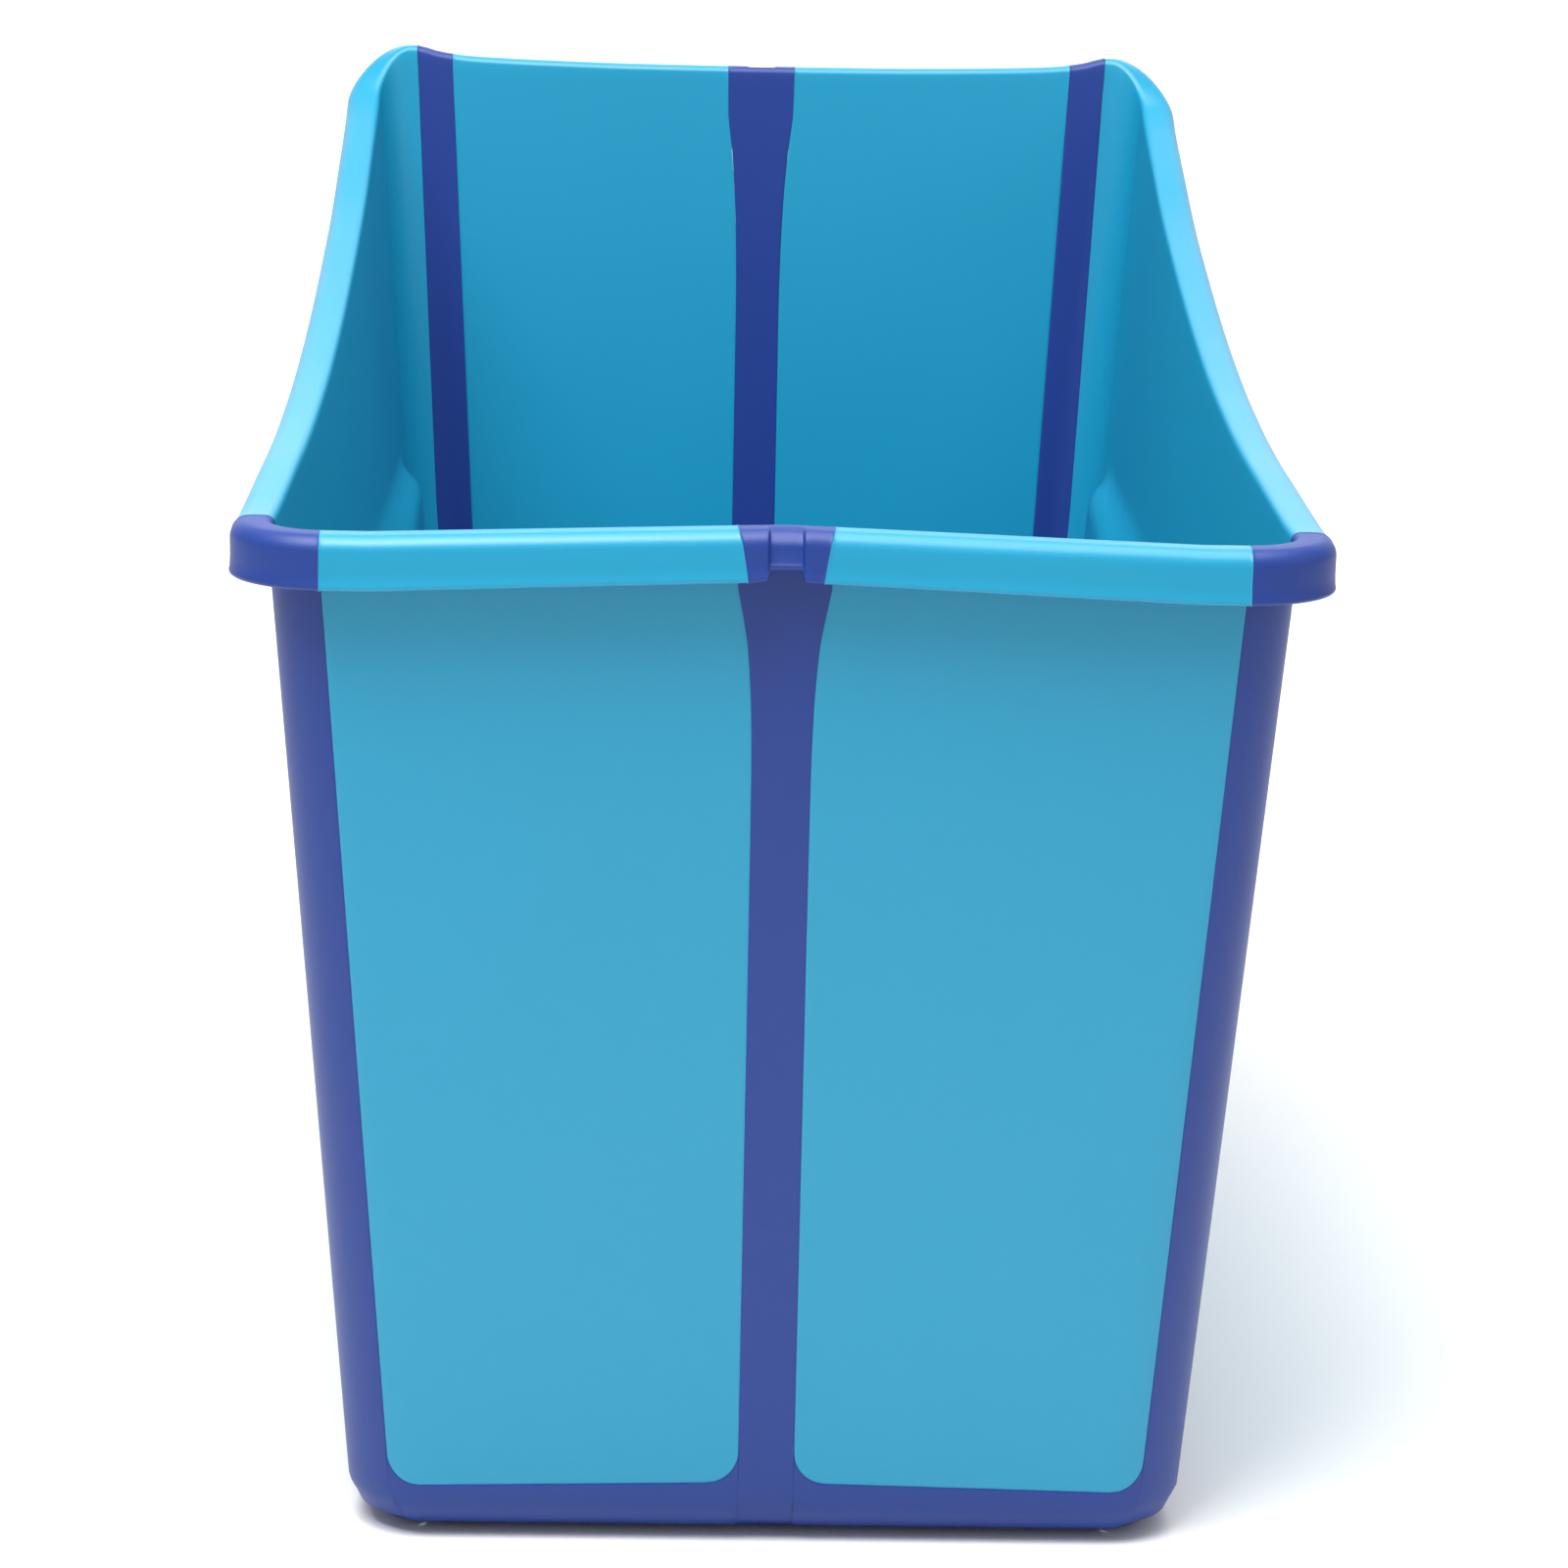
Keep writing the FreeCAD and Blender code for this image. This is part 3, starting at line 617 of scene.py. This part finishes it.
# ------------------------------------------------------------------ materials
def material(name, color, rough, grain=0.0, grain_size=900.0, spec=0.5, coat=0.0, vary=0.04, sss=0.0):
    m = bpy.data.materials.new(name)
    m.use_nodes = True
    nt = m.node_tree
    b = nt.nodes["Principled BSDF"]
    b.inputs["Roughness"].default_value = rough
    b.inputs["Specular IOR Level"].default_value = spec
    b.inputs["IOR"].default_value = 1.49
    if coat:
        b.inputs["Coat Weight"].default_value = coat
        b.inputs["Coat Roughness"].default_value = 0.18
    geo = nt.nodes.new("ShaderNodeNewGeometry")
    n1 = nt.nodes.new("ShaderNodeTexNoise")
    n1.inputs["Scale"].default_value = 7.0
    n1.inputs["Detail"].default_value = 3.0
    nt.links.new(geo.outputs["Position"], n1.inputs["Vector"])
    ramp = nt.nodes.new("ShaderNodeMapRange")
    ramp.inputs["To Min"].default_value = 1 - vary
    ramp.inputs["To Max"].default_value = 1 + vary
    nt.links.new(n1.outputs["Fac"], ramp.inputs["Value"])
    mul = nt.nodes.new("ShaderNodeVectorMath")
    mul.operation = "SCALE"
    mul.inputs[0].default_value = color
    nt.links.new(ramp.outputs["Result"], mul.inputs["Scale"])
    nt.links.new(mul.outputs["Vector"], b.inputs["Base Color"])
    r2 = nt.nodes.new("ShaderNodeMapRange")
    r2.inputs["To Min"].default_value = rough * 0.9
    r2.inputs["To Max"].default_value = rough * 1.1
    nt.links.new(n1.outputs["Fac"], r2.inputs["Value"])
    nt.links.new(r2.outputs["Result"], b.inputs["Roughness"])
    if grain:
        n2 = nt.nodes.new("ShaderNodeTexNoise")
        n2.inputs["Scale"].default_value = grain_size
        n2.inputs["Detail"].default_value = 2.0
        nt.links.new(geo.outputs["Position"], n2.inputs["Vector"])
        bump = nt.nodes.new("ShaderNodeBump")
        bump.inputs["Strength"].default_value = grain
        bump.inputs["Distance"].default_value = 0.0002
        nt.links.new(n2.outputs["Fac"], bump.inputs["Height"])
        nt.links.new(bump.outputs["Normal"], b.inputs["Normal"])
    return m


CYAN = material("cyan_plastic", (0.007, 0.262, 0.432), 0.36, grain=0.12, grain_size=1100, vary=0.03)
PURPLE = material("soft_purple", (0.007, 0.034, 0.215), 0.46, grain=0.18, grain_size=1400, spec=0.45, vary=0.04)
PLASTIC = material("purple_plastic", (0.007, 0.034, 0.215), 0.32, vary=0.03)
GREY = material("grey_rubber", (0.20, 0.21, 0.23), 0.7, grain=0.2, vary=0.05)
MATS = {"cyan_plastic": CYAN, "soft_purple": PURPLE, "purple_plastic": PLASTIC, "grey_rubber": GREY}


def paint(o, m):
    o.data.materials.clear()
    o.data.materials.append(m)


for name, o in OBJ.items():
    slot = "cyan_plastic" if "panel" in name else "soft_purple"
    paint(o, MATS[slot])
slots = {s["node"]: s["material_slot"] for s in frame["record"]["subparts"]}
for name, o in frame["nodes"].items():
    paint(o, MATS[slots[name]])

# ------------------------------------------------------------------ studio
scene = bpy.context.scene
bpy.ops.mesh.primitive_plane_add(size=1, location=(0, 0, 0))
ground = bpy.context.object
ground.name = "studio_floor"
bm_w, bm_d = 9.0, 9.0
pts, faces = [], []
prof = [(-6.0, -0.0)] + [(4.2, 0.0)]
prof += [(4.2 + 1.6 * math.sin(a), 1.6 * (1 - math.cos(a))) for a in np.linspace(0.1, math.pi / 2, 14)]
prof += [(5.8, 9.0)]
for y, z in prof:
    pts += [(-12.0, y, z), (12.0, y, z)]
for i in range(len(prof) - 1):
    faces.append((2 * i, 2 * i + 1, 2 * i + 3, 2 * i + 2))
me = bpy.data.meshes.new("studio_floor")
me.from_pydata(pts, [], faces)
for p in me.polygons:
    p.use_smooth = True
ground.data = me
white = bpy.data.materials.new("studio_white")
white.use_nodes = True
wb_ = white.node_tree.nodes["Principled BSDF"]
wb_.inputs["Base Color"].default_value = (0.88, 0.88, 0.885, 1)
wb_.inputs["Roughness"].default_value = 0.8
ground.data.materials.append(white)

world = bpy.data.worlds.new("World")
scene.world = world
world.use_nodes = True
world.node_tree.nodes["Background"].inputs["Color"].default_value = (1, 1, 1, 1)
world.node_tree.nodes["Background"].inputs["Strength"].default_value = 0.48
scene.view_settings.view_transform = "Standard"


def lamp(name, loc, target, size, size_y, watts, color=(1, 1, 1)):
    l = bpy.data.lights.new(name, "AREA")
    l.shape = "RECTANGLE"
    l.size, l.size_y = size, size_y
    l.energy = watts
    l.color = color
    o = bpy.data.objects.new(name, l)
    scene.collection.objects.link(o)
    o.location = loc
    o.rotation_euler = (Vector(target) - Vector(loc)).to_track_quat("-Z", "Y").to_euler()
    return o


lamp("key", (-0.75, -1.05, 2.55), (0, 0.1, 0.35), 1.6, 1.4, 70)
lamp("fill", (2.8, -1.2, 1.8), (0, 0, 0.3), 1.8, 1.8, 7)
lamp("top", (0.2, -0.3, 3.3), (0, 0.1, 0.3), 2.8, 2.8, 95)
lamp("backdrop", (0.0, 3.4, 3.6), (0, 5.4, 1.6), 5.0, 1.5, 150)

# ------------------------------------------------------------------ camera
C = (-0.056755, -2.543649, 0.873470)
yaw, pitch, roll, F = -0.0271323, 0.2263593, 0.0213582, 4844.29
Rz = np.array([[math.cos(yaw), -math.sin(yaw), 0], [math.sin(yaw), math.cos(yaw), 0], [0, 0, 1]])
fwd = Rz @ np.array([0, math.cos(pitch), -math.sin(pitch)])
right = Rz @ np.array([1.0, 0, 0])
up = np.cross(right, fwd)
r2 = math.cos(roll) * right + math.sin(roll) * up
u2 = -math.sin(roll) * right + math.cos(roll) * up
cam = bpy.data.cameras.new("camera")
cam.sensor_width = 36.0
cam.lens = F / 1600.0 * 36.0
cam.clip_end = 60
co = bpy.data.objects.new("camera", cam)
scene.collection.objects.link(co)
M = Matrix(((r2[0], u2[0], -fwd[0], C[0]), (r2[1], u2[1], -fwd[1], C[1]), (r2[2], u2[2], -fwd[2], C[2]), (0, 0, 0, 1)))
co.matrix_world = M
scene.camera = co
